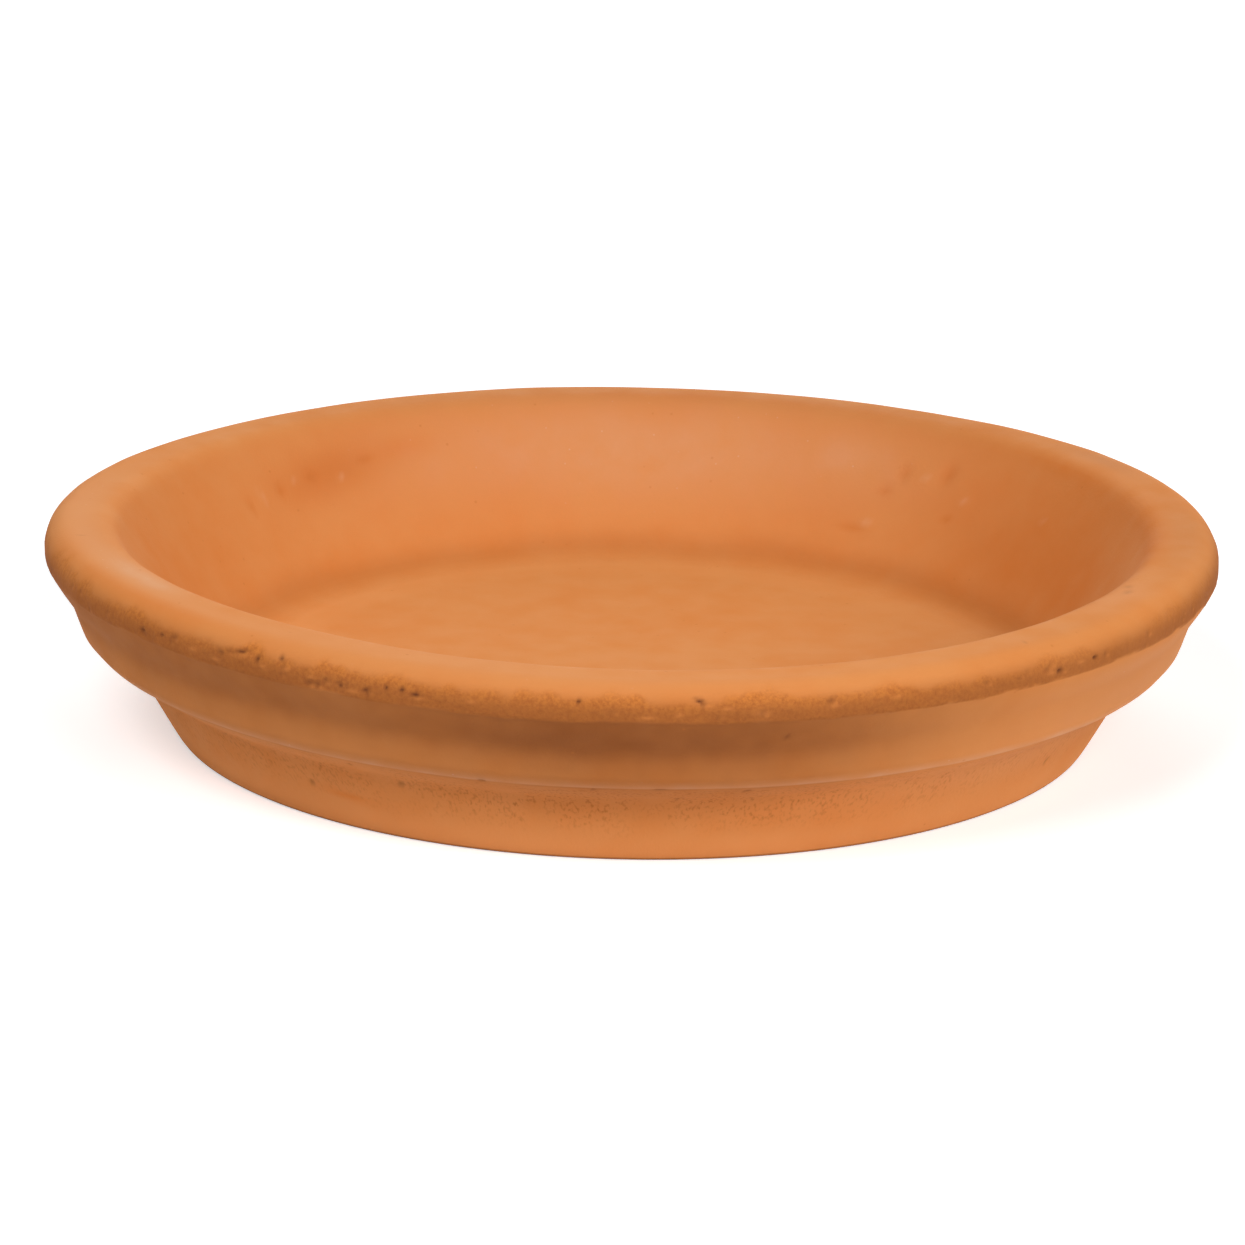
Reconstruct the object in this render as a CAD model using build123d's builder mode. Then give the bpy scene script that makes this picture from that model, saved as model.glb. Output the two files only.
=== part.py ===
from build123d import *

import os

# Terracotta plant saucer, pressed and turned from one lump of clay.
# Lengths are in millimetres. It stands on the XY plane with its axis on Z.

os.makedirs("parts", exist_ok=True)

# Sizes across the saucer, set in from the outside of the rim
rim_radius = 100.0  # outside of the rolled rim
rim_width = 11.3  # outside of the rim to the mouth of the well
cove_inset = 3.7  # the cove under the rim, where its slope turns to the band
band_inset = 5.55  # lower part of the band, above its edge
step_inset = 7.0  # lower edge of the band, where it steps back to the foot wall
foot_inset = 21.1  # outside of the foot where it stands
foot_wall = 8.2  # clay between the foot's outside and the corner of the floor

# Heights, stacked from the ground up
foot_height = 16.5  # ground to the lower edge of the band
band_height = 7.1  # lower edge of the band to the cove
rim_height = 11.4  # cove to the top of the rim
floor_thickness = 8.0  # clay under the well

# Shallow hollow under the base, which leaves a ring to stand on
foot_ring_width = 18.0
hollow_depth = 1.2
hollow_slope = 2.0  # width of the sloping edge of the hollow

# Rounding left by the sponge
foot_edge_round = 1.0
step_edge_round = 1.0
lip_round = 4.5
floor_corner_round = 6.0

# Shares of the sizes that they follow
flare_out_share = 0.5  # the foot wall's reach towards the band's lower edge
flare_up_share = 0.75  # the same corner's height in the foot
flare_round_share = 0.3  # rounding of that corner, of the foot's height
band_up_share = 0.24  # height where the band's edge turns up into its wall
band_round_share = 0.24  # rounding there, of the band's height
cove_round_share = 0.42  # rounding of the cove, of the band's height
rim_under_share = 0.48  # height where the underside of the rim turns up
rim_under_round_share = 0.21  # rounding there, of the rim's height
rim_top_round_share = 0.38  # rounding at the top of the rim, of the rim's height

# Radii and heights worked out from those
foot_radius = rim_radius - foot_inset
step_radius = rim_radius - step_inset
band_radius = rim_radius - band_inset
cove_radius = rim_radius - cove_inset
mouth_radius = rim_radius - rim_width
floor_radius = foot_radius - foot_wall
flare_radius = foot_radius + flare_out_share * (step_radius - foot_radius)
ring_radius = foot_radius - foot_ring_width
cove_height = foot_height + band_height
saucer_height = cove_height + rim_height
foot_flare_round = foot_height * flare_round_share
band_round = band_height * band_round_share
cove_round = band_height * cove_round_share
rim_under_round = rim_height * rim_under_round_share
rim_top_round = rim_height * rim_top_round_share

# Half of the section, from the hollow round the outside to the middle of the floor
outline = [
    ((0, hollow_depth), 0),
    ((ring_radius - hollow_slope, hollow_depth), 0),
    ((ring_radius, 0), 0),
    ((foot_radius, 0), foot_edge_round),
    ((flare_radius, foot_height * flare_up_share), foot_flare_round),
    ((step_radius, foot_height), step_edge_round),
    ((band_radius, foot_height + band_height * band_up_share), band_round),
    ((cove_radius, cove_height), cove_round),
    ((rim_radius, cove_height + rim_height * rim_under_share), rim_under_round),
    ((rim_radius, saucer_height), rim_top_round),
    ((mouth_radius, saucer_height), lip_round),
    ((floor_radius, floor_thickness), floor_corner_round),
    ((0, floor_thickness), 0),
]
corners = [corner for corner, rounding in outline]
roundings = [rounding for corner, rounding in outline]

# The saucer is one body of clay: the section turned once about the axis
with BuildPart() as saucer:
    with BuildSketch(Plane.XZ) as section:
        with BuildLine():
            FilletPolyline(*corners, radius=roundings, close=True)
        make_face()
    revolve(axis=Axis.Z)

saucer.part.label = "saucer"
export_step(saucer.part, "parts/saucer.step")

print("saucer", saucer.part.bounding_box().size, "volume", saucer.part.volume)
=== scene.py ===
import math
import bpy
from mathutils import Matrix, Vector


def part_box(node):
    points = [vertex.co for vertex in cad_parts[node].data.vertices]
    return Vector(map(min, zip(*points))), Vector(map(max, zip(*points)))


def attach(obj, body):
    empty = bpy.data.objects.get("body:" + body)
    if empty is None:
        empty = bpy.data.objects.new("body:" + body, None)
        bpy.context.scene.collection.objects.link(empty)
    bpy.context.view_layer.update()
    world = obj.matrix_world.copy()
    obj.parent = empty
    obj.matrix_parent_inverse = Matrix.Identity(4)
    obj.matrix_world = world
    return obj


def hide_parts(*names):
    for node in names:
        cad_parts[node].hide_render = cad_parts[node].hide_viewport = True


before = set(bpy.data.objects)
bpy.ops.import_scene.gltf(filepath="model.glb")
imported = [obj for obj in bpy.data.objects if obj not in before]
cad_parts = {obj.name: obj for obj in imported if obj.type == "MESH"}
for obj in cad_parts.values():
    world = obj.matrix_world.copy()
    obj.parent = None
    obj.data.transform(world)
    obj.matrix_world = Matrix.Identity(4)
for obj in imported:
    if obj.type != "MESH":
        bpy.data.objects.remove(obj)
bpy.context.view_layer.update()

from types import SimpleNamespace

import bpy
import numpy as np
from mathutils import Matrix, Vector

# One unglazed terracotta saucer. Sizes are in millimetres and turned to metres in the mesh.
# A bearing is in degrees round the saucer: 0 faces the camera, 90 is the right and -90 the left.
mm = 0.001
cadLow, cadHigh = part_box("saucer")

saucerShape = {
    "rimRadius": (cadHigh.x - cadLow.x) / 2 / mm,
    "height": (cadHigh.z - cadLow.z) / mm,
    "rimWidth": 11.3,          # rim's outside to the mouth of the well
    "rimHeight": 11.4,         # cove to the top of the rim
    "coveInset": 3.7,
    "bandInset": 5.55,
    "bandHeight": 7.1,
    "stepInset": 7.0,
    "footInset": 21.1,
    "footHeight": 16.5,
    "footWall": 8.2,
    "floorThickness": 8.0,
    "ringWidth": 18.0,
    "hollowDepth": 1.2,
    "hollowSlope": 2.0,
    "edgeRound": 1.0,          # roundings that the sponge left: the foot and the step, the lip, the floor
    "lipRound": 4.5,
    "floorRound": 6.0,
    "flareOut": 0.50,          # shares: corner of the foot's flare, out towards the step and up the foot
    "flareUp": 0.75,
    "flareRound": 0.30,
    "bandUp": 0.24,            # shares of the band's height: where its edge turns up, and the roundings
    "bandRound": 0.24,
    "coveRound": 0.42,
    "rimUnder": 0.48,          # shares of the rim's height: where its underside turns up, and the roundings
    "rimUnderRound": 0.21,
    "rimTopRound": 0.38,
}

# Spacing of the grid in millimetres: along the section, and the widest allowed round the saucer
gridSteps = {
    "flat": (4.0, 3.6),
    "well": (1.35, 1.3),
    "outside": (1.12, 0.64),
    "belt": (0.46, 0.32),
    "arcShare": 0.4,           # a rounding has rings this share of its radius apart, or closer
    "line": 0.05,              # spacing of the line that the rings are picked from
    "beltMargin": 1.0,         # the belt's spacing goes this far past its edges
}


# An sRGB hex colour as linear red, green, blue and full alpha
def linearColour(hexText):
    share = np.array([int(hexText[i:i + 2], 16) for i in (1, 3, 5)]) / 255
    linear = np.where(share <= 0.04045, share / 12.92, ((share + 0.055) / 1.055) ** 2.4)
    return (*linear.tolist(), 1.0)


def smoothStep(low, high, value):
    share = np.clip((value - low) / (high - low), 0, 1)
    return share * share * (3 - 2 * share)


# Smooth noise from -1 to 1: seeded values on a cubic lattice, blended across each cell
def clayNoise(points, cell, seed):
    rng = np.random.default_rng(seed)
    place = (points - points.min(axis=0)) / cell
    lattice = rng.uniform(-1, 1, np.ceil(place.max(axis=0)).astype(int) + 2)
    base = np.floor(place).astype(int)
    share = place - base
    share = share * share * (3 - 2 * share)
    value = np.zeros(len(points))
    for corner in range(8):
        step = np.array([(corner >> axis) & 1 for axis in range(3)])
        at = base + step
        value += np.prod(np.where(step, share, 1 - share), axis=1) * lattice[at[:, 0], at[:, 1], at[:, 2]]
    return value


# Layers of that noise added up, each with its strength and the width of its cells
def layered(points, layers, seed):
    return sum(strength * clayNoise(points, cell, seed + n) for n, (strength, cell) in enumerate(layers))


# Corners of the clay's half section, from under the base round the outside to the middle of the floor:
# radius, height, rounding, and the grid step of the run that ends there
def sectionCorners(shape):
    rim = shape["rimRadius"]
    top = shape["height"]
    rimHeight = shape["rimHeight"]
    bandHeight = shape["bandHeight"]
    footTop = shape["footHeight"]
    cove = top - rimHeight
    edge = shape["edgeRound"]
    step = rim - shape["stepInset"]
    foot = rim - shape["footInset"]
    flare = foot + shape["flareOut"] * (step - foot)
    band = rim - shape["bandInset"]
    ring = foot - shape["ringWidth"]
    return [
        (0.0, shape["hollowDepth"], 0.0, "flat"),
        (ring - shape["hollowSlope"], shape["hollowDepth"], edge, "flat"),
        (ring, 0.0, edge, "well"),
        (foot, 0.0, edge, "flat"),
        (flare, footTop * shape["flareUp"], footTop * shape["flareRound"], "outside"),
        (step, footTop, edge, "outside"),
        (band, footTop + bandHeight * shape["bandUp"], bandHeight * shape["bandRound"], "outside"),
        (rim - shape["coveInset"], cove, bandHeight * shape["coveRound"], "outside"),
        (rim, cove + rimHeight * shape["rimUnder"], rimHeight * shape["rimUnderRound"], "outside"),
        (rim, top, rimHeight * shape["rimTopRound"], "outside"),
        (rim - shape["rimWidth"], top, shape["lipRound"], "outside"),
        (foot - shape["footWall"], shape["floorThickness"], shape["floorRound"], "well"),
        (0.0, shape["floorThickness"], 0.0, "flat"),
    ]


# Fine line through the corners: straight runs, and at each corner an arc tangent to its two runs.
# Each row is radius, height, the outward direction, and the grid's steps along and around there
def sectionLine(corners, steps):
    points = np.array([corner[:2] for corner in corners])
    fine = steps["line"]
    last = points[0]
    rows = []
    for index in range(1, len(corners)):
        along, around = steps[corners[index][3]]
        rounding = corners[index][2]
        first = points[index]
        if rounding > 0:
            back = points[index - 1] - points[index]
            ahead = points[index + 1] - points[index]
            back = back / np.hypot(*back)
            ahead = ahead / np.hypot(*ahead)
            half = math.acos(float(back @ ahead)) / 2
            middle = (back + ahead) / np.hypot(*(back + ahead))
            centre = points[index] + middle * rounding / math.sin(half)
            first = points[index] + back * rounding / math.tan(half)
        run = first - last
        length = np.hypot(*run)
        share = np.arange(0, length, fine) / length
        straight = np.tile([0, 0, run[1] / length, -run[0] / length, along, around], (len(share), 1))
        straight[:, :2] = last + share[:, None] * run
        rows.append(straight)
        last = first
        if rounding > 0:
            spoke = first - centre
            bend = np.sign(spoke[1] * back[0] - spoke[0] * back[1])
            sweep = math.pi - 2 * half
            angle = bend * np.linspace(0, sweep, math.ceil(rounding * sweep / fine))[:, None]
            arc = spoke * np.cos(angle) + np.array([-spoke[1], spoke[0]]) * np.sin(angle)
            outward = arc * -np.sign(straight[0, 2:4] @ -spoke) / rounding
            arcSteps = np.tile([min(along, steps["arcShare"] * rounding), around], (len(arc), 1))
            rows.append(np.concatenate([centre + arc, outward, arcSteps], 1))
            last = rows[-1][-1, :2]
    rows.append(np.array([[*last, *rows[-1][-1, 2:]]]))
    return np.concatenate(rows)


# Rings picked from the fine line, one for each grid step that has gone by
def sectionRings(shape, steps, belt):
    line = sectionLine(sectionCorners(shape), steps)
    radius, height = line[:, 0], line[:, 1]
    onBelt = (height > belt["low"] - steps["beltMargin"]) & (height < belt["high"] + steps["beltMargin"])
    onBelt &= radius > shape["rimRadius"] - belt["rollWidth"][0]
    line[onBelt, 4:] = steps["belt"]
    gone = np.hypot(np.diff(radius), np.diff(height)) / np.minimum(line[1:, 4], line[:-1, 4])
    gone = np.concatenate([[0], np.cumsum(gone)])
    at = np.linspace(0, gone[-1], math.ceil(gone[-1]) + 1)
    rings = np.stack([np.interp(at, gone, column) for column in line.T], 1)
    rings[:, 2:4] /= np.hypot(rings[:, 2], rings[:, 3])[:, None]
    return rings


# Mesh from rings: a ring has a power of two columns and its neighbour at most twice as many.
# A point on the axis counts as a ring of one
def turnedMesh(name, rings, shaped):
    radius = rings[:, 0]
    columns = 2 ** np.ceil(np.log2(np.maximum(2 * math.pi * radius / rings[:, 5], 8))).astype(int)
    columns[radius == 0] = 1
    inner = np.flatnonzero(radius > 0)
    for order in (inner, inner[::-1]):
        for here, after in zip(order[:-1], order[1:]):
            columns[after] = max(columns[after], columns[here] // 2)
    start = np.concatenate([[0], np.cumsum(columns)])
    ringOf = np.repeat(np.arange(len(columns)), columns)
    turn = (np.arange(start[-1]) - start[ringOf]) / columns[ringOf]
    points, masks = shaped(rings, ringOf, turn)
    triangles = []
    quads = []
    for ring in range(len(columns) - 1):
        few, many = sorted((ring, ring + 1), key=lambda which: columns[which])
        flip = slice(None) if few < many else slice(None, None, -1)
        i = np.arange(columns[few])
        low = start[few] + i
        lowNext = start[few] + (i + 1) % columns[few]
        ratio = columns[many] // columns[few]
        if columns[few] == 1:
            j = np.arange(columns[many])
            edge = [np.full_like(j, start[few]), start[many] + j, start[many] + (j + 1) % columns[many]]
            triangles.append(np.stack(edge, 1)[:, flip])
            continue
        high = start[many] + i * ratio
        highNext = start[many] + (i + 1) % columns[few] * ratio
        if ratio == 1:
            quads.append(np.stack([low, high, highNext, lowNext], 1)[:, flip])
            continue
        for corners in ((low, high, high + 1), (low, high + 1, lowNext), (lowNext, high + 1, highNext)):
            triangles.append(np.stack(corners, 1)[:, flip])
    triangles = np.concatenate(triangles)
    quads = np.concatenate(quads)
    mesh = bpy.data.meshes.new(name)
    mesh.from_pydata((points * mm).tolist(), [], triangles.tolist() + quads.tolist())
    for maskName, mask in masks.items():
        layer = mesh.attributes.new(maskName, "FLOAT", "POINT")
        layer.data.foreach_set("value", np.clip(mask, 0, 1).astype(np.float32))
    mesh.polygons.foreach_set("use_smooth", np.ones(len(mesh.polygons), bool))
    mesh.validate()
    mesh.update()
    print(name, "has", len(mesh.vertices), "points and", len(triangles) + 2 * len(quads), "triangles")
    piece = bpy.data.objects.new(name, mesh)
    bpy.context.scene.collection.objects.link(piece)
    return piece


def harmonics(angle, pairs):
    return sum(c * np.cos(n * angle) + s * np.sin(n * angle) for n, (c, s) in enumerate(pairs, 2))


# Where the clay counts as its outside: how far it faces outwards, and from which radius
outsideFace = {
    "faces": (-0.2, 0.2),
    "radius": (60, 70),
}


# The turned grid before it is shaped: each point's place in the section, direction outward and bearing
def clayGrid(rings, ringOf, turn):
    r, z, outR, outZ = rings[ringOf, :4].T
    angle = 2 * math.pi * turn - math.pi / 2
    bearing = np.degrees(angle) + 90
    return SimpleNamespace(
        rings=rings, ringOf=ringOf, r=r, z=z, outR=outR, outZ=outZ, angle=angle, bearing=bearing,
        side=(bearing + 180) % 360 - 180,
        along=np.concatenate([[0], np.cumsum(np.hypot(*np.diff(rings[:, :2], axis=0).T))]),
        flat=np.stack([r * np.cos(angle), r * np.sin(angle), z], 1),
        outside=smoothStep(*outsideFace["faces"], outR) * smoothStep(*outsideFace["radius"], r),
    )


# Distance along the section from the ring nearest to a radius and height
def fromRing(grid, radius, height):
    ring = np.argmin(np.hypot(grid.rings[:, 0] - radius, grid.rings[:, 1] - height))
    return grid.along[grid.ringOf] - grid.along[ring]


# A bell over a mark's place: exp(-(u / wide)^2 - (v / tall)^2), with u in millimetres round the saucer
# and v along its section
def bell(grid, place):
    bearing, radius, height, wide, tall, depth, lean = place
    u = radius * np.radians((grid.bearing - bearing + 180) % 360 - 180)
    v = fromRing(grid, radius, height)
    c, s = math.cos(math.radians(lean)), math.sin(math.radians(lean))
    return np.exp(-((u * c + v * s) / wide) ** 2 - ((v * c - u * s) / tall) ** 2)


def highest(grid, places):
    return np.max([bell(grid, place) for place in places], axis=0)


# Bells added up, each times its depth or strength
def added(grid, places):
    return sum(bell(grid, place) * place[5] for place in places)


# Raw clay round the widest part of the rim, which the sponge didn't reach
rawBelt = {
    "low": 29.2,               # heights of its edges
    "high": 32.9,
    "lowStray": ((0.28, 5.0), (0.168, 1.6)),    # how far the edges wander, and over what length
    "highStray": ((1.2, 7.0), (0.84, 2.2)),
    "lowSoft": (-0.1, 0.15),   # how softly the edges start
    "highSoft": (-0.6, 0.9),
    "lipSoft": (-0.05, 0.35),
    "sunk": 0.06,              # the skin above stands this far proud
    "lip": 0.25,               # the belt overhangs the cove by this
    "lipHeight": 2.6,
    "grain": ((0.06, 0.6), (0.08, 2.0)),    # depth and width, fine and coarse
    "pits": 170,
    "pitSize": (0.24, 0.50),
    "pitDepth": (0.06, 0.26),
    "pitRoom": (0.3, 0.5),     # clear of the belt's edges
    "pitStretch": (1, 1.8),    # wider than they are high
    "pitLean": 30,
    # pits are darkened with painted shade, up to this strength
    "pitShade": 0.55,
    "crumb": (0.4, 0.7),       # under each pit: degrees aside, and its height as a share of its width
    "roughFrom": (-82, -50),   # bearings where it grows rough and calm again, in front and behind
    "roughTo": (22, 62),
    "calm": 0.38,              # how rough it is between them
    "rollWidth": (4, 3),       # it is on the roll alone, within these distances of the rim's outside
    "roundOver": (30.7, 0.1),  # the rim rounds inwards above this height, by this times the square
}


# Raw belt: sunk under the wiped skin, grained and pitted, with a ragged lip over the cove.
# Gives its push outward and the height of its lower edge
def beltRelief(grid, belt, masks):
    flat, z = grid.flat, grid.z
    rim = saucerShape["rimRadius"]
    rough = [smoothStep(*belt["roughFrom"], way) * (1 - smoothStep(*belt["roughTo"], way))
             for way in (grid.side, grid.bearing % 360 - 180)]
    rough = belt["calm"] + (1 - belt["calm"]) * np.maximum(*rough)
    lowEdge = belt["low"] + layered(flat, belt["lowStray"], 11)
    highEdge = belt["high"] + layered(flat, belt["highStray"], 13)
    onRoll = rough * smoothStep(*(rim - inset for inset in belt["rollWidth"]), grid.r)
    raw = onRoll * smoothStep(*belt["lowSoft"], z - lowEdge) * smoothStep(*belt["highSoft"], highEdge - z)
    up = smoothStep(0, 1, (z - lowEdge) / belt["lipHeight"] + 1)
    under = onRoll * up * smoothStep(*belt["lipSoft"], lowEdge - z)
    push = raw * (layered(flat, belt["grain"], 21) - belt["sunk"]) - belt["lip"] * under

    # Pits at random places, small ones the most common, each darkened with painted shade and with a crumb
    # under it
    over, bend = belt["roundOver"]
    lowRoom, highRoom = belt["pitRoom"]
    aside, flatness = belt["crumb"]
    rng = np.random.default_rng(31)
    hollow = np.zeros(len(z))
    crumb = np.zeros(len(z))
    for pit in range(belt["pits"]):
        size = rng.uniform() ** 2
        wide = belt["pitSize"][0] + size * (belt["pitSize"][1] - belt["pitSize"][0])
        deep = belt["pitDepth"][0] + size * (belt["pitDepth"][1] - belt["pitDepth"][0])
        height = rng.uniform(belt["low"] + lowRoom, belt["high"] - highRoom)
        radius = rim - bend * max(height - over, 0) ** 2
        where = rng.uniform(-180, 180)
        long = wide * rng.uniform(*belt["pitStretch"])
        bowl = bell(grid, (where, radius, height, long, wide, deep, rng.uniform(-1, 1) * belt["pitLean"]))
        hollow = np.maximum(hollow, belt["pitShade"] * bowl * size * rough)
        push -= bowl * deep * rough
        fallen = bell(grid, (where + aside, radius, height - wide, wide, wide * flatness, 0, 0))
        crumb = np.maximum(crumb, fallen * size)
    masks.update(rawClay=raw, pitShade=hollow, freshChip=crumb)
    return push, lowEdge


# Marks as (bearing, radius, height, half width, half height, depth, lean in degrees). A dent with a depth
# below zero is a bump
clayMarks = {
    "rimPits": [
        (-51, 100, 30.8, 0.7, 0.4, 0.40, 0), (-48, 100, 31.0, 0.6, 0.3, 0.35, 10),
        (-40, 99.9, 31.5, 0.8, 0.4, 0.30, -15), (-33, 99.3, 33.0, 0.4, 0.5, 0.40, 40),
        (-37.6, 99.7, 32.6, 1.5, 0.3, 0.45, 12), (-35.6, 99.9, 31.9, 0.4, 0.6, 0.45, -30),
        (-26.5, 100, 30.7, 0.4, 0.4, 0.40, 0), (-24, 100, 30.8, 0.6, 0.3, 0.40, 20),
        (-22, 99.9, 31.7, 0.3, 0.4, 0.45, 0), (-20.5, 99.9, 31.6, 0.4, 0.4, 0.50, 0),
        (-19.2, 100, 31.1, 0.8, 0.3, 0.55, 10), (-4.5, 99.7, 32.4, 0.35, 0.35, 0.50, 0),
        (6.0, 99.5, 32.7, 0.8, 0.3, 0.60, -25), (6.2, 99.5, 32.6, 0.3, 0.7, 0.35, 10),
        (14, 97.6, 25.7, 0.4, 0.3, 0.25, 0), (42.2, 100, 30.8, 0.6, 0.4, 0.60, 0),
        (47.2, 100, 31.0, 0.6, 0.25, 0.55, 0), (40, 95.6, 35.0, 0.3, 0.3, 0.10, 0),
    ],
    "ledgePits": [
        (-14.2, 92.9, 16.3, 0.5, 0.4, 0.40, 0), (-3.5, 91.5, 15.4, 0.4, 0.4, 0.35, 0),
        (2.8, 92.8, 16.3, 0.9, 0.25, 0.25, 0), (4.8, 87.5, 12.8, 0.3, 0.7, 0.20, 0),
        (11.5, 91.3, 15.4, 0.5, 0.35, 0.40, 0), (-29.2, 89.8, 14.3, 0.4, 0.4, 0.30, 0),
        (-24.8, 85.4, 10.7, 0.4, 0.4, 0.30, 0), (-37.5, 83.7, 7.7, 0.5, 0.4, 0.25, 0),
        (54.8, 83.5, 7.3, 0.35, 0.35, 0.30, 0),
    ],
    "rimFlakes": [
        (-37.3, 99.9, 31.9, 1.6, 0.45, 0.14, 8), (-34.8, 99.9, 31.2, 0.9, 0.35, 0.12, -20),
        (-18.8, 100, 30.7, 0.8, 0.3, 0.12, 0), (6.6, 99.7, 32.2, 1.0, 0.3, 0.12, -10),
        (8.5, 99.9, 31.6, 0.8, 0.3, 0.10, 0), (45.0, 100, 30.9, 1.0, 0.3, 0.12, 0),
        (-43.5, 100, 30.6, 1.1, 0.35, 0.12, 10), (-29.5, 100, 30.9, 0.8, 0.3, 0.10, 0),
        (24.0, 100, 31.4, 0.7, 0.3, 0.08, 0), (-40.5, 100, 30.2, 1.0, 0.3, 0.12, -8),
        (-32.2, 99.9, 31.6, 1.1, 0.3, 0.10, 15), (-25.2, 100, 30.3, 1.0, 0.3, 0.10, 0),
        (-14.0, 100, 30.9, 0.8, 0.3, 0.08, 0), (1.5, 100, 30.4, 1.2, 0.3, 0.10, 5),
        (4.2, 100, 30.8, 0.6, 0.4, 0.10, 0), (11.5, 100, 30.6, 1.3, 0.35, 0.12, -5),
        (18.0, 100, 31.0, 0.9, 0.3, 0.08, 0), (41.0, 100, 30.5, 0.8, 0.3, 0.10, 0),
    ],
    "wallDents": [
        (143, 82.3, 27.1, 1.1, 1.6, 0.42, 10), (136.5, 82.5, 27.5, 1.4, 2.0, 0.42, -10),
        (145, 79.7, 22.8, 1.3, 1.0, 0.36, 0), (133.8, 78.6, 21.0, 1.2, 0.7, 0.26, 15),
        (148, 76.0, 16.7, 3.0, 0.8, 0.26, -8), (139.5, 82.0, 26.6, 0.8, 0.7, -0.24, 0),
        (132.2, 80.7, 24.6, 0.9, 0.5, -0.24, 20), (146, 76.6, 17.8, 1.1, 0.5, -0.20, -10),
        (-138.5, 81.4, 25.6, 0.9, 0.45, -0.22, 30), (-124.2, 81.2, 25.3, 0.5, 1.5, -0.20, 12),
        (-131, 82.3, 27.1, 0.5, 0.4, -0.18, 0), (117, 81.0, 25.0, 0.5, 0.5, -0.14, 0),
        (-134, 81.8, 26.3, 1.4, 1.0, 0.24, -15), (-128, 81.6, 25.9, 1.0, 1.4, 0.22, 10),
        (-143, 82.4, 27.3, 1.6, 0.9, 0.20, 0), (-121.5, 80.4, 24.0, 0.8, 1.8, 0.20, 8),
    ],
    "rimCracks": [
        (61.5, 91.8, 35.0, 1.7, 0.2, 0.07, 4), (63.4, 91.0, 34.9, 1.0, 0.2, 0.05, 0),
        (-76.2, 94.5, 35.0, 0.8, 0.2, 0.05, 60),
    ],
}

# How strongly they show in the clay's colour. The dark of the pits, cracks and dents is painted shade
markTones = {
    "pitFull": 0.5,            # a pit this deep is as dark as it can be
    "crackShade": 0.22,
    "bumpScuff": 0.22,
    "dentShadeIron": 0.5,
    "dentShadeDamp": 0.08,
}


# Marks at their own places: pits, raised flakes, dents, bumps and cracks. Gives their push outward
def markRelief(grid, marks, masks):
    pits = marks["rimPits"] + marks["ledgePits"]
    dents = marks["wallDents"]
    # pits and cracks are darkened with painted shade
    shade = np.max([bell(grid, place) * min(1, place[5] / markTones["pitFull"]) for place in pits], axis=0)
    masks["pitShade"] = np.maximum(masks["pitShade"], shade)
    masks["pitShade"] += markTones["crackShade"] * highest(grid, marks["rimCracks"])
    masks["freshChip"] = np.maximum(masks["freshChip"], highest(grid, marks["rimFlakes"]))
    masks["paleScuff"] = markTones["bumpScuff"] * sum(bell(grid, place) for place in dents if place[5] < 0)
    return added(grid, marks["rimFlakes"]) - added(grid, pits + dents + marks["rimCracks"])


# Stains, and a few patches of painted shade, as (bearing, radius, height, half width, half height, strength,
# lean in degrees)
clayStainsAndShade = {
    "limeBloomAndHighlight": [
        (-59, 92.0, 35.0, 10.0, 1.8, 0.70, 0), (-66, 93.5, 35.0, 22.0, 3.0, 0.30, 0),
        (-20, 92.5, 35.0, 30.0, 2.5, 0.15, 0), (117, 94.2, 35.0, 9.0, 2.6, 0.22, 0),
        (60, 92.5, 35.0, 10.0, 2.0, 0.25, 0), (180, 82.0, 26.0, 50.0, 10.0, 0.48, 0),
        (68, 95.0, 20.4, 45.0, 4.5, 0.35, 0), (60, 97.4, 26.0, 30.0, 2.5, 0.30, 0),
        (50, 86.0, 12.4, 40.0, 6.0, 0.25, 0), (-5, 96.5, 34.6, 45.0, 2.5, 0.12, 0),
        (-45, 95.0, 35.0, 25.0, 3.0, 0.12, 0), (-90, 94.0, 35.0, 25.0, 4.0, 0.25, 0),
        (150, 82.5, 27.5, 8.0, 4.0, 0.20, 0),
    ],
    # The patch at bearing 84 on the lip's inner rounding is painted shade; the rest are iron stains
    "ironStain": [
        (112, 79.5, 22.0, 32.0, 14.0, 0.60, 0), (-137, 81.8, 26.2, 13.0, 5.0, 0.80, 6),
        (-33, 83.1, 6.7, 5.0, 0.9, 0.90, -6), (-149, 83.2, 28.2, 7.0, 2.4, 0.50, 6),
        (-100, 78.0, 20.0, 32.0, 10.0, 0.25, 0), (84, 88.8, 34.2, 26.0, 2.6, 0.70, 0),
        (200, 88.0, 13.0, 22.0, 5.0, 0.35, 0), (118, 87.0, 33.8, 14.0, 1.6, 0.50, 0),
        (-55, 98.0, 34.2, 30.0, 1.8, 0.60, 0), (170, 90.5, 35.0, 50.0, 2.2, 0.50, 0),
        (-132, 72.5, 11.0, 14.0, 4.0, 0.20, 0),
    ],
    # The patches on the roll at bearings 75 and -80 are painted shade; the rest are damp stains
    "dampStain": [
        (-137, 81.8, 26.2, 13.0, 4.6, 0.13, 6), (86, 94.0, 35.0, 28.0, 6.0, 0.20, 0),
        (150, 92.5, 35.0, 55.0, 5.0, 0.18, 0), (-160, 92.5, 35.0, 45.0, 5.0, 0.10, 0),
        (45, 94.0, 35.0, 22.0, 5.0, 0.08, 0), (124, 78.0, 19.0, 16.0, 8.0, 0.06, 0),
        (75, 99.6, 31.5, 30.0, 2.8, 0.16, 0), (-80, 100.0, 29.0, 30.0, 3.5, 0.14, 0),
        (117, 94.2, 35.0, 12.0, 3.0, 0.16, 0), (60, 96.0, 22.0, 35.0, 6.0, 0.07, 0),
    ],
}

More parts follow.
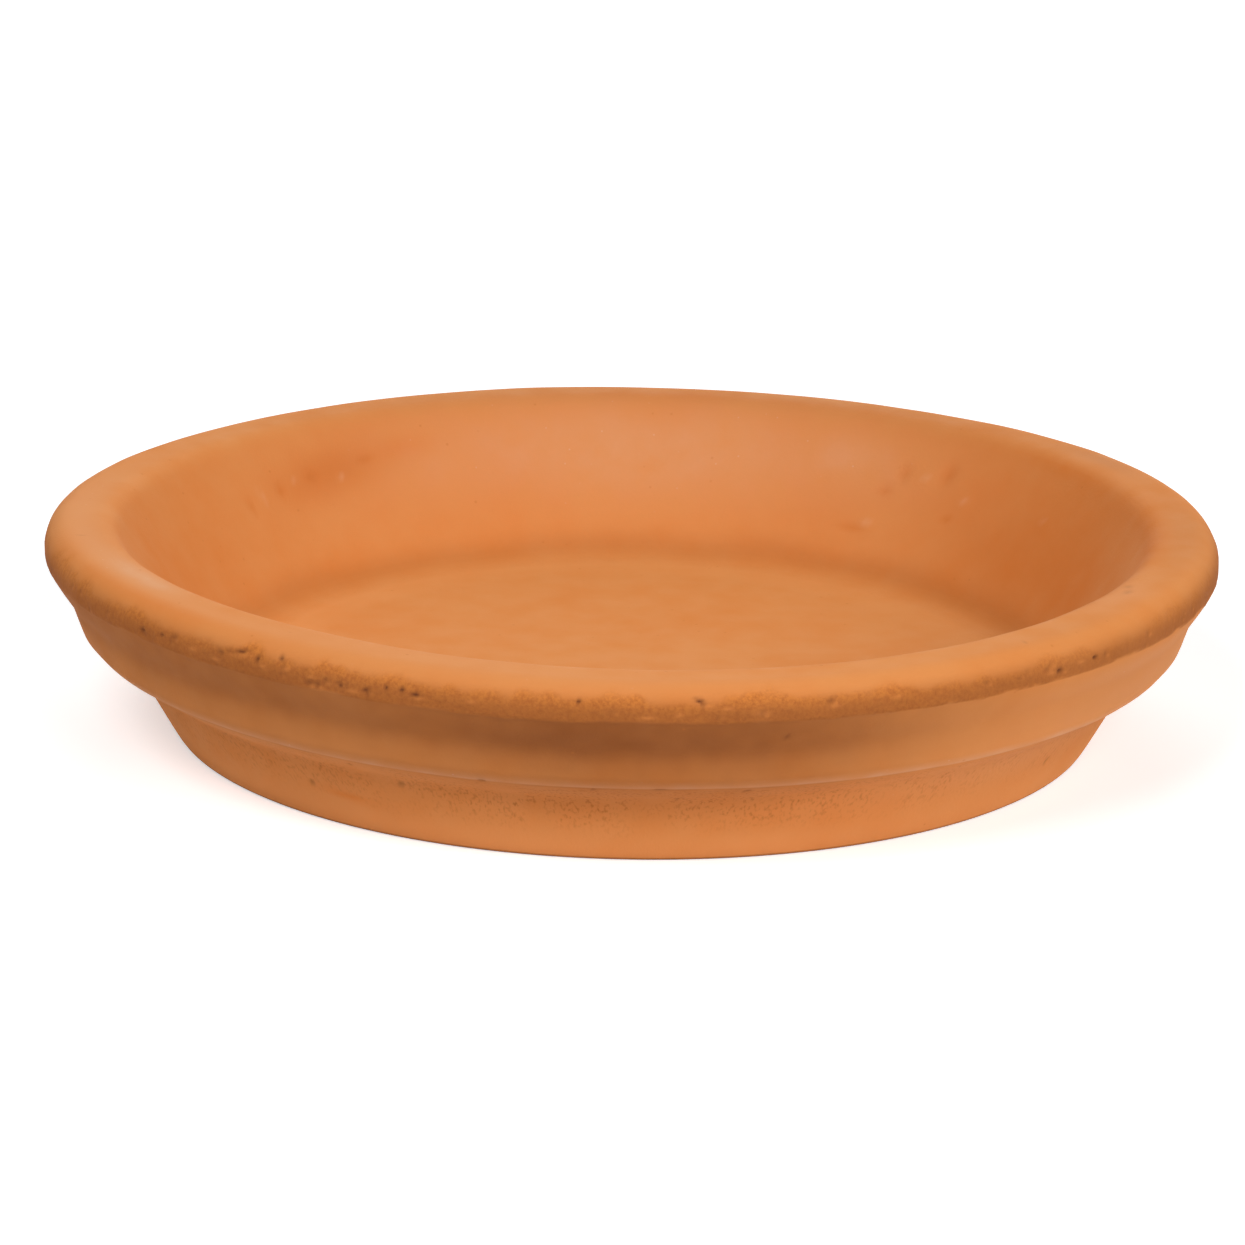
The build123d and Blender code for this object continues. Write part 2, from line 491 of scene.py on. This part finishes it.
# Lower edge of the band. Distances are up the section from the edge
stepEdge = {
    "paleFrom": (-0.5, -0.1),   # pale between these: rubbed wear and painted highlight
    "paleTo": (0.5, 1.5),
    "rubAndHighlight": 0.64,
    "paleEdgePatches": ((0.32, 3.0),),
    "shade": (0.55, -0.85, 0.3),     # painted shade under it: strength, middle and half width
    "shadePatch": 2.5,         # width of its patches, and the noise values where they come in
    "shadeFrom": (-0.6, 0.4),
}

# Painted shade round the corner of the well, and painted light on the floor just inside it
wellCornerShade = {
    "corner": (71.8, 9.6),     # its radius and height
    "stray": ((1.2, 14.0),),   # how far it wanders, and over what length
    "width": 3.0,
    "iron": 0.25,              # strengths of its painted shade, in the iron and damp tones
    "damp": 0.24,
    "pale": (0.22, 9.0, 4.0),  # painted light on the floor: strength, distance further in, and half width
}


# Stains at their own places; the band's lower edge, pale from rubbed wear and painted highlight, with painted
# shade under it; painted shade in the dents and round the well's corner, with painted light on the floor
# beside it
def addStainsAndPaintedLight(grid, masks):
    flat = grid.flat
    for name, places in clayStainsAndShade.items():
        masks[name] = added(grid, places)
    fromStep = fromRing(grid, saucerShape["rimRadius"] - saucerShape["stepInset"], saucerShape["footHeight"])
    edgeRubAndHighlight = smoothStep(*stepEdge["paleFrom"], fromStep) * (1 - smoothStep(*stepEdge["paleTo"], fromStep))
    masks["limeBloomAndHighlight"] += edgeRubAndHighlight * (stepEdge["rubAndHighlight"] + layered(flat, stepEdge["paleEdgePatches"], 51))
    strength, middle, width = stepEdge["shade"]
    underEdge = np.exp(-((fromStep - middle) / width) ** 2)
    underEdge *= smoothStep(*stepEdge["shadeFrom"], clayNoise(flat, stepEdge["shadePatch"], 52))
    masks["pitShade"] += strength * underEdge

    wellCorner = wellCornerShade
    fromLine = fromRing(grid, *wellCorner["corner"]) + layered(flat, wellCorner["stray"], 53)
    cornerShade = np.exp(-(fromLine / wellCorner["width"]) ** 2)
    # painted shade in the dents, in the iron and damp tones
    dentShade = highest(grid, [place for place in clayMarks["wallDents"] if place[5] > 0])
    masks["ironStain"] += wellCorner["iron"] * cornerShade + markTones["dentShadeIron"] * dentShade
    masks["dampStain"] += wellCorner["damp"] * cornerShade + markTones["dentShadeDamp"] * dentShade
    strength, middle, width = wellCorner["pale"]
    masks["paleFoot"] = strength * np.exp(-((fromLine - middle) / width) ** 2)
    return edgeRubAndHighlight


# Painted shade under the rim, on the roll, the cove and the band, most in front and on the left, least on the
# right. Bearings are degrees to the right of the front
paintedRimShade = {
    "rollTop": 34.6,           # the roll darkens from here down to the next height
    "rollFull": 30.2,
    "coveFull": (20.0, 23.8),  # below these heights it drops to a share of it, which then fades
    "bandShare": 0.70,
    "fadeFront": 7.0,          # it is gone at these heights: front, left and right
    "fadeLeft": 11.0,
    "fadeRight": 17.0,
    "rightEdge": (12, 45),     # bearings between which it thins out to the right
    "front": (0.25, 17),       # strengths: darker in front, over this many degrees
    "left": 0.53,
    "round": 0.15,
    "back": 0.35,
    "backFrom": (90, 150),     # bearings, right or left, where the front's shade turns into the back's
    "roll": (0.67, 0.08),      # on the roll: all round, and more on the left
    # iron tone painted as shade on the roll, from its top down to the belt's lower edge
    "rollShadeIron": 0.4,
    "rollEdge": (-0.15, 0.2),  # how softly the roll's shade meets the cove's, at the belt's lower edge
    "patches": ((0.08, 9.0), (0.06, 2.5)),
    "paleEdgeClear": 0.35,            # the band's pale edge gets this much less of the painted shade
    "paleFoot": (0.43, 1.5, 9.0),    # painted light from the table on the foot, brighter towards the bottom: strength, and the heights where it is full and gone
    "palePatches": ((0.3, 12.0),),
    "groundDirt": (0.75, 0.25, 0.65),    # painted shade on the edge that it stands on, likewise
}

# Pores on the foot, where the trimming tool dragged
footPores = {
    "low": (3.5, 11.0),        # heights where they come in and go
    "high": (15.2, 16.4),
    "edge": (91.5, 93.0),      # radius where they stop
    "sides": 0.45,             # share of them away from the front, and the bearing where they thin out
    "thins": 38,
    "patch": 4.5,              # width of their patches, and the noise values where they come in
    "patchFrom": (-0.9, 0.3),
}


# Painted shade under the rim, on the roll, the cove and the band, and along the edge it stands on; painted
# light on the foot; and the foot's pores
def addPaintedShadeLightAndPores(grid, masks, lowEdge, edgeRubAndHighlight):
    flat, z, side, outside = grid.flat, grid.z, grid.side, grid.outside
    rimShade = paintedRimShade
    turned = 1 - smoothStep(*rimShade["rightEdge"], side)
    ahead = np.exp(-(side / rimShade["front"][1]) ** 2)
    cove = rimShade["round"] + rimShade["left"] * turned + rimShade["front"][0] * ahead
    cove += (rimShade["back"] - cove) * smoothStep(*rimShade["backFrom"], np.abs(side))
    gone = rimShade["fadeRight"] + (rimShade["fadeLeft"] - rimShade["fadeRight"]) * turned
    gone += (rimShade["fadeFront"] - rimShade["fadeLeft"]) * ahead
    fade = np.clip((z - gone) / (rimShade["coveFull"][0] - gone), 0, 1)
    cove *= rimShade["bandShare"] * fade + (1 - rimShade["bandShare"]) * smoothStep(*rimShade["coveFull"], z)
    rolled = smoothStep(rimShade["rollTop"], rimShade["rollFull"], z)
    roll = (rimShade["roll"][0] + rimShade["roll"][1] * turned) * rolled
    overEdge = smoothStep(*rimShade["rollEdge"], z - lowEdge)
    cove += (roll - cove) * overEdge
    cove *= 1 + layered(flat, rimShade["patches"], 54) - rimShade["paleEdgeClear"] * edgeRubAndHighlight
    # painted shade under the rim, and a painted shadow along the edge it stands on
    strength, full, end = rimShade["groundDirt"]
    masks["dampStain"] += outside * (cove + strength * (1 - smoothStep(full, end, z)))
    masks["ironStain"] += rimShade["rollShadeIron"] * outside * rolled * overEdge
    # painted light on the foot, brighter towards the bottom
    strength, full, end = rimShade["paleFoot"]
    pale = strength * (1 - smoothStep(full, end, z)) * (1 + layered(flat, rimShade["palePatches"], 56))
    masks["paleFoot"] += outside * pale

    pores = footPores
    onFoot = smoothStep(*pores["low"], z) * (1 - smoothStep(*pores["high"], z))
    onFoot *= outside * (1 - smoothStep(*pores["edge"], grid.r))
    ahead = pores["sides"] + (1 - pores["sides"]) * np.exp(-(side / pores["thins"]) ** 2)
    masks["dragPores"] = onFoot * ahead * smoothStep(*pores["patchFrom"], clayNoise(flat, pores["patch"], 57))


# How far the fired clay is out of true, in millimetres at the rim: harmonics 2, 3 and 4 as (cosine, sine)
outOfTrue = {
    "shift": (-0.27, 0.30),    # the rim's centre from the foot's, and how much the rim leans along x and y
    "tilt": (-0.05, -0.56),
    "rimRound": ((0.005, 0.097), (-0.158, 0.233), (0.10, 0.37)),
    "rimLevel": ((0.293, 0.295), (-0.056, -0.199), (-0.03, 0.091)),
    "sag": 0.15,               # the whole rim stands this much low
    "footRound": (-0.077, 0.236),
    "swells": ((0.10, 26.0), (0.045, 8.0)),     # of the hand-wiped skin, slow and quick: depth and width
    "settled": (0.3, 2.5),     # the skin stays plain up to the first height, so that it stands flat
    "stiff": (60.0, 90.0),     # only the wall, between these radii, moves with the rim
}


# Moves the turned points: along the outward direction by swells, marks and pits, and out of true as it dried.
# The masks say where the material changes, and where shade and light are painted into its colour
def shapeClay(rings, ringOf, turn):
    grid = clayGrid(rings, ringOf, turn)
    flat, angle = grid.flat, grid.angle
    masks = {}
    push, lowEdge = beltRelief(grid, rawBelt, masks)
    push += markRelief(grid, clayMarks, masks)
    edgeRubAndHighlight = addStainsAndPaintedLight(grid, masks)
    addPaintedShadeLightAndPores(grid, masks, lowEdge, edgeRubAndHighlight)

    true = outOfTrue
    push += smoothStep(*true["settled"], grid.z) * layered(flat, true["swells"], 41)

    rim = saucerShape["rimRadius"]
    up = grid.z / saucerShape["height"]
    stiff, loose = true["stiff"]
    wall = np.clip((grid.r - stiff) / (loose - stiff), 0, 1)
    grow = up * harmonics(angle, true["rimRound"]) + (1 - up) * harmonics(angle, [true["footRound"]])
    lean = (true["tilt"][0] * flat[:, 0] + true["tilt"][1] * flat[:, 1]) / rim
    lift = harmonics(angle, true["rimLevel"]) + lean - true["sag"]
    newR = grid.r + wall * grow + push * grid.outR
    points = np.stack([
        newR * np.cos(angle) + true["shift"][0] * up,
        newR * np.sin(angle) + true["shift"][1] * up,
        grid.z + up * wall * lift + push * grid.outZ,
    ], 1)
    return points, masks


clay = turnedMesh("terracottaSaucer", sectionRings(saucerShape, gridSteps, rawBelt), shapeClay)


# One node with its settings, and links from other nodes' outputs to its inputs, named or in0, in1...
def addNode(tree, kind, settings=None, **inputs):
    node = tree.nodes.new(kind)
    for key, value in (settings or {}).items():
        setattr(node, key, value)
    for key, value in inputs.items():
        socket = node.inputs[int(key[2:])] if key.startswith("in") and key[2:].isdigit() else node.inputs[key]
        if isinstance(value, bpy.types.NodeSocket):
            tree.links.new(value, socket)
        else:
            socket.default_value = value
    return node


def newMaterial(name):
    material = bpy.data.materials.new(name)
    material.use_nodes = True
    material.node_tree.nodes.clear()
    return material, material.node_tree


# Masks that shapeClay leaves on the mesh
clayMasks = [
    "rawClay", "pitShade", "freshChip", "paleScuff", "dragPores",
    "limeBloomAndHighlight", "ironStain", "dampStain", "paleFoot",
]

# Low-fired red clay: its colours in sRGB, and the widths of its patterns in millimetres
clayFinish = {
    "skin": "#DB8E4E",         # fine slip that the sponge draws to the surface
    "ironSkin": "#D97E37",     # where the skin is thin, or fired hotter; also painted shade on the roll, in the dents and round the well's corner
    "limeSkin": "#DFA981",     # lime bloom that dries on edges and handled places; along the band's lower edge also painted highlight
    "shadeAndDampClay": "#8F5126",     # painted shade under the rim, in the dents, along the bottom edge and round the well's corner; damp stains elsewhere
    "paleClay": "#F0A564",     # painted light: the foot lit from the table, and the floor by the well's corner
    "rawClay": "#DA863C",      # grains of the belt, light and dark
    "rawShade": "#BC6C31",
    "poreShade": "#A65F2C",
    "chip": "#E8924C",
    # painted shade in pits and cracks and under the band's lower edge
    "pit": "#6A3A21",
    "scuff": "#E8B58C",
    "salt": "#EAD8CC",
    "blotchWidth": 30.0,       # slow changes of tone, and small clouds in them
    "cloudWidth": 7.0,
    "grainWidth": 0.62,        # grog, drawn a little coarser than its 0.4 mm so that it shows
    "specWidth": 5.0,          # burnt specks, this far apart
    "saltWidth": 3.2,          # salt crystals in the bloom
    "dragWidth": (0.52, 3.4),  # pores on the foot, pulled up and down by the trimming tool
    "grainDepth": 0.05,        # depths of the bump: skin, raw belt and pores
    "rawDepth": 0.12,
    "dragDepth": 0.03,
    "specShare": 0.3,          # how strong the specks, pores, salt and chips are
    "poreShare": 0.9,
    "saltShare": 0.55,
    "chipShare": 0.3,
    "roughness": (0.82, 0.95),
    "diffuseRough": 0.3,
    "specular": 0.16,          # dusty pores keep the surface from shining
}

# How a pattern's values turn to strengths: from, to, and the strengths there if they aren't 0 and 1
clayRanges = {
    "blotchIron": (0.38, 0.70, 0.0, 0.32),
    "cloudIron": (0.35, 0.72, -0.10, 0.16),
    "cloudLime": (0.30, 0.66, 0.45, 1.0),
    "cloudRough": (0.3, 0.7, *clayFinish["roughness"]),
    "grit": (0.34, 0.62),
    "speck": (0.03, 0.07, clayFinish["specShare"], 0.0),
    "pore": (0.50, 0.84),
    "salt": (0.02, 0.07, clayFinish["saltShare"], 0.0),
    "depth": (0.0, 1.0, clayFinish["grainDepth"] * mm, clayFinish["rawDepth"] * mm),
}


# Terracotta is matt and dry: no gloss, a soft broken orange, pale where lime bloomed, rough where it is raw
def terracotta(finish, ranges):
    material, tree = newMaterial("unglazedFiredTerracotta")
    colour = {name: linearColour(value) for name, value in finish.items() if isinstance(value, str)}
    place = addNode(tree, "ShaderNodeTexCoord").outputs["Object"]
    span = {name: {f"in{n}": end for n, end in enumerate(ends, 1)} for name, ends in ranges.items()}
    mask = {}
    for name in clayMasks:
        mask[name] = addNode(tree, "ShaderNodeAttribute", {"attribute_name": name}).outputs["Fac"]

    # Skin: slow blotches and small clouds between the slip colour and the iron colour
    blotch = addNode(tree, "ShaderNodeTexNoise", Vector=place, Scale=1 / (finish["blotchWidth"] * mm),
                     Detail=3.0)
    cloud = addNode(tree, "ShaderNodeTexNoise", Vector=place, Scale=1 / (finish["cloudWidth"] * mm),
                    Detail=4.0)
    grain = addNode(tree, "ShaderNodeTexNoise", Vector=place, Scale=1 / (finish["grainWidth"] * mm),
                    Detail=3.0, Roughness=0.65)
    broken = addNode(tree, "ShaderNodeMapRange", in0=blotch.outputs["Fac"], **span["blotchIron"])
    clouded = addNode(tree, "ShaderNodeMapRange", in0=cloud.outputs["Fac"], **span["cloudIron"])
    iron = addNode(tree, "ShaderNodeMath", {"operation": "ADD"},
                   in0=broken.outputs[0], in1=clouded.outputs[0])
    stained = addNode(tree, "ShaderNodeMath", {"operation": "ADD", "use_clamp": True},
                      in0=iron.outputs[0], in1=mask["ironStain"])
    skin = addNode(tree, "ShaderNodeMix", {"data_type": "RGBA"},
                   in0=stained.outputs[0], in6=colour["skin"], in7=colour["ironSkin"])
    limed = addNode(tree, "ShaderNodeMapRange", in0=cloud.outputs["Fac"], **span["cloudLime"])
    lime = addNode(tree, "ShaderNodeMath", {"operation": "MULTIPLY", "use_clamp": True},
                   in0=limed.outputs[0], in1=mask["limeBloomAndHighlight"])
    bloomed = addNode(tree, "ShaderNodeMix", {"data_type": "RGBA"},
                      in0=lime.outputs[0], in6=skin.outputs[2], in7=colour["limeSkin"])
    # painted light on the foot and on the floor by the well's corner
    paintedLit = addNode(tree, "ShaderNodeMix", {"data_type": "RGBA"},
                    in0=mask["paleFoot"], in6=bloomed.outputs[2], in7=colour["paleClay"])

    # Raw belt: grains of two tones. The painted shade under the rim, with the damp stains, lies over it and
    # over the skin
    gritty = addNode(tree, "ShaderNodeMapRange", in0=grain.outputs["Fac"], **span["grit"])
    raw = addNode(tree, "ShaderNodeMix", {"data_type": "RGBA"},
                  in0=gritty.outputs[0], in6=colour["rawShade"], in7=colour["rawClay"])
    belted = addNode(tree, "ShaderNodeMix", {"data_type": "RGBA"},
                     in0=mask["rawClay"], in6=paintedLit.outputs[2], in7=raw.outputs[2])
    body = addNode(tree, "ShaderNodeMix", {"data_type": "RGBA"},
                   in0=mask["dampStain"], in6=belted.outputs[2], in7=colour["shadeAndDampClay"])

    # Specks of burnt grog, far apart
    cells = addNode(tree, "ShaderNodeTexVoronoi", Vector=place, Scale=1 / (finish["specWidth"] * mm))
    speck = addNode(tree, "ShaderNodeMapRange", in0=cells.outputs["Distance"], **span["speck"])
    specked = addNode(tree, "ShaderNodeMix", {"data_type": "RGBA"},
                      in0=speck.outputs[0], in6=body.outputs[2], in7=colour["rawShade"])

    # Pores that the trimming tool has dragged up the foot
    wide, tall = finish["dragWidth"]
    pulled = addNode(tree, "ShaderNodeMapping", Vector=place, Scale=(1.0, 1.0, wide / tall))
    drag = addNode(tree, "ShaderNodeTexNoise", Vector=pulled.outputs[0], Scale=1 / (wide * mm), Detail=1.0)
    pore = addNode(tree, "ShaderNodeMapRange", in0=drag.outputs["Fac"], **span["pore"])
    poreHere = addNode(tree, "ShaderNodeMath", {"operation": "MULTIPLY"},
                       in0=pore.outputs[0], in1=mask["dragPores"])
    poreShade = addNode(tree, "ShaderNodeMath", {"operation": "MULTIPLY"},
                        in0=poreHere.outputs[0], in1=finish["poreShare"])
    dragged = addNode(tree, "ShaderNodeMix", {"data_type": "RGBA"},
                      in0=poreShade.outputs[0], in6=specked.outputs[2], in7=colour["poreShade"])

    # Salt in the lime bloom
    salts = addNode(tree, "ShaderNodeTexVoronoi", Vector=place, Scale=1 / (finish["saltWidth"] * mm))
    salt = addNode(tree, "ShaderNodeMapRange", in0=salts.outputs["Distance"], **span["salt"])
    saltHere = addNode(tree, "ShaderNodeMath", {"operation": "MULTIPLY", "use_clamp": True},
                       in0=salt.outputs[0], in1=mask["limeBloomAndHighlight"])
    salted = addNode(tree, "ShaderNodeMix", {"data_type": "RGBA"},
                     in0=saltHere.outputs[0], in6=dragged.outputs[2], in7=colour["salt"])

    # Crumbled edges, scuffs, and painted shade in the pits and cracks and under the band's edge
    chipShare = addNode(tree, "ShaderNodeMath", {"operation": "MULTIPLY"},
                        in0=mask["freshChip"], in1=finish["chipShare"])
    chipped = addNode(tree, "ShaderNodeMix", {"data_type": "RGBA"},
                      in0=chipShare.outputs[0], in6=salted.outputs[2], in7=colour["chip"])
    scuffed = addNode(tree, "ShaderNodeMix", {"data_type": "RGBA"},
                      in0=mask["paleScuff"], in6=chipped.outputs[2], in7=colour["scuff"])
    pitted = addNode(tree, "ShaderNodeMix", {"data_type": "RGBA"},
                     in0=mask["pitShade"], in6=scuffed.outputs[2], in7=colour["pit"])

    # Bump: grain all over, deep in the raw belt, and the dragged pores
    rawDepth = addNode(tree, "ShaderNodeMapRange", in0=mask["rawClay"], **span["depth"])
    grained = addNode(tree, "ShaderNodeMath", {"operation": "MULTIPLY"},
                      in0=grain.outputs["Fac"], in1=rawDepth.outputs[0])
    relief = addNode(tree, "ShaderNodeMath", {"operation": "MULTIPLY_ADD"},
                     in0=poreHere.outputs[0], in1=-finish["dragDepth"] * mm, in2=grained.outputs[0])
    bump = addNode(tree, "ShaderNodeBump", Height=relief.outputs[0], Distance=1.0, Strength=1.0)
    dry = addNode(tree, "ShaderNodeMapRange", in0=cloud.outputs["Fac"], **span["cloudRough"])
    surface = {
        "Base Color": pitted.outputs[2],
        "Specular IOR Level": finish["specular"],
        "Diffuse Roughness": finish["diffuseRough"],
    }
    shader = addNode(tree, "ShaderNodeBsdfPrincipled",
                     Roughness=dry.outputs[0], Normal=bump.outputs[0], **surface)
    addNode(tree, "ShaderNodeOutputMaterial", Surface=shader.outputs["BSDF"])
    print(material.name, "has", len(tree.nodes), "nodes")
    return material


clay.data.materials.append(terracotta(clayFinish, clayRanges))
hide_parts("saucer")
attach(clay, "root")


# Camera: 17.5 degrees above the saucer, turned so that the base's centre falls where the photograph has it
cameraView = {
    "elevation": 17.487,
    "distance": 0.800,
    "roll": 1.05,
    "focalPixels": 4615.2,      # focal length in pixels of the photograph
    "framePixels": 1245,
    "sensor": 36.0,
    "nearest": 0.01,
    "baseCentre": (9.37, 86.63),     # pixels right of and below the middle of the picture
}


def placeCamera(view):
    data = bpy.data.cameras.new("photoCamera")
    data.sensor_width = view["sensor"]
    data.lens = view["sensor"] * view["focalPixels"] / view["framePixels"]
    data.clip_start = view["nearest"]
    camera = bpy.data.objects.new("photoCamera", data)
    bpy.context.scene.collection.objects.link(camera)
    rise = math.radians(view["elevation"])
    spot = np.array([0, -math.cos(rise), math.sin(rise)]) * view["distance"]
    toBase = -spot / view["distance"]
    right = np.array([1.0, 0, 0])
    over = np.cross(right, toBase)
    roll = math.radians(view["roll"])
    rightRolled = math.cos(roll) * right + math.sin(roll) * over
    overRolled = math.cos(roll) * over - math.sin(roll) * right
    # The axis that makes the base's centre fall at its pixels, square to the rolled right and up
    px, py = view["baseCentre"]
    look = toBase * view["focalPixels"] - px * rightRolled + py * overRolled
    look = look / np.linalg.norm(look)
    rightAxis = rightRolled - look * (rightRolled @ look)
    rightAxis = rightAxis / np.linalg.norm(rightAxis)
    upAxis = np.cross(rightAxis, look)
    matrix = np.eye(4)
    matrix[:3, 0], matrix[:3, 1], matrix[:3, 2], matrix[:3, 3] = rightAxis, upAxis, -look, spot
    camera.matrix_world = Matrix(matrix.tolist())
    bpy.context.scene.camera = camera
    print(camera.name, "is", view["distance"], "m away with a lens of", round(data.lens, 1), "mm")


placeCamera(cameraView)

# Soft boxes: azimuth (0 is the camera's side, 90 the right), elevation, distance and size in metres, watts
studioLamps = {
    "frontSoftbox": (30, 30, 1.5, 0.8, 10.0),
    "rightSoftbox": (60, 30, 1.5, 0.8, 5.1),
    "leftSoftbox": (326, 46, 1.5, 0.8, 12.0),
    "backSoftbox": (180, 30, 1.5, 0.8, 7.6),
    "lowSoftbox": (180, 8, 1.5, 0.8, 2.0),
}


def addLamp(name, azimuth, elevation, distance, size, watts):
    data = bpy.data.lights.new(name, "AREA")
    data.shape = "DISK"
    data.size = size
    data.energy = watts
    lamp = bpy.data.objects.new(name, data)
    bpy.context.scene.collection.objects.link(lamp)
    a, e = math.radians(azimuth), math.radians(elevation)
    back = np.array([math.sin(a) * math.cos(e), -math.cos(a) * math.cos(e), math.sin(e)])
    lamp.location = (back * distance).tolist()
    lamp.rotation_euler = Vector(back.tolist()).to_track_quat("Z", "Y").to_euler()


for name, lamp in studioLamps.items():
    addLamp(name, *lamp)
print(len(studioLamps), "soft boxes light it")


# 1 where a ray shows the background: to the camera, and in gloss and glass
def showsBackground(tree):
    rays = addNode(tree, "ShaderNodeLightPath")
    glossy = addNode(tree, "ShaderNodeMath", {"operation": "MAXIMUM"},
                     in0=rays.outputs["Is Camera Ray"], in1=rays.outputs["Is Glossy Ray"])
    return addNode(tree, "ShaderNodeMath", {"operation": "MAXIMUM"},
                   in0=glossy.outputs[0], in1=rays.outputs["Is Transmission Ray"]).outputs[0]


world = bpy.data.worlds.new("studioAir")
bpy.context.scene.world = world
world.use_nodes = True
world.node_tree.nodes.clear()
seen = addNode(world.node_tree, "ShaderNodeBackground", Color=(1, 1, 1, 1), Strength=1.0)
air = addNode(world.node_tree, "ShaderNodeBackground", Color=(1, 1, 1, 1), Strength=0.0)
blend = addNode(world.node_tree, "ShaderNodeMixShader",
                in0=showsBackground(world.node_tree), in1=air.outputs[0], in2=seen.outputs[0])
addNode(world.node_tree, "ShaderNodeOutputWorld", Surface=blend.outputs[0])


whiteTable = {
    "half": 3.0,                # metres from its middle to its edges
    "below": 0.02,              # millimetres under the saucer
    "white": 0.9,
    "brightened": 0.5,
}


# White table just under the saucer. It is matt, keeps the shadow, and is brightened only where a ray shows
# the background
def addFloor(table):
    half, low, white = table["half"], -table["below"] * mm, table["white"]
    mesh = bpy.data.meshes.new("studioTable")
    corners = [(-half, -half, low), (half, -half, low), (half, half, low), (-half, half, low)]
    mesh.from_pydata(corners, [], [(0, 1, 2, 3)])
    floor = bpy.data.objects.new("studioTable", mesh)
    bpy.context.scene.collection.objects.link(floor)
    material, tree = newMaterial("whiteTable")
    matt = addNode(tree, "ShaderNodeBsdfDiffuse", Color=(white, white, white, 1))
    glow = addNode(tree, "ShaderNodeEmission", Color=(1, 1, 1, 1), Strength=table["brightened"])
    both = addNode(tree, "ShaderNodeAddShader", in0=matt.outputs[0], in1=glow.outputs[0])
    mix = addNode(tree, "ShaderNodeMixShader",
                  in0=showsBackground(tree), in1=matt.outputs[0], in2=both.outputs[0])
    addNode(tree, "ShaderNodeOutputMaterial", Surface=mix.outputs[0])
    mesh.materials.append(material)
    print(floor.name, "stands under it")


addFloor(whiteTable)
bpy.context.scene.view_settings.view_transform = "Standard"
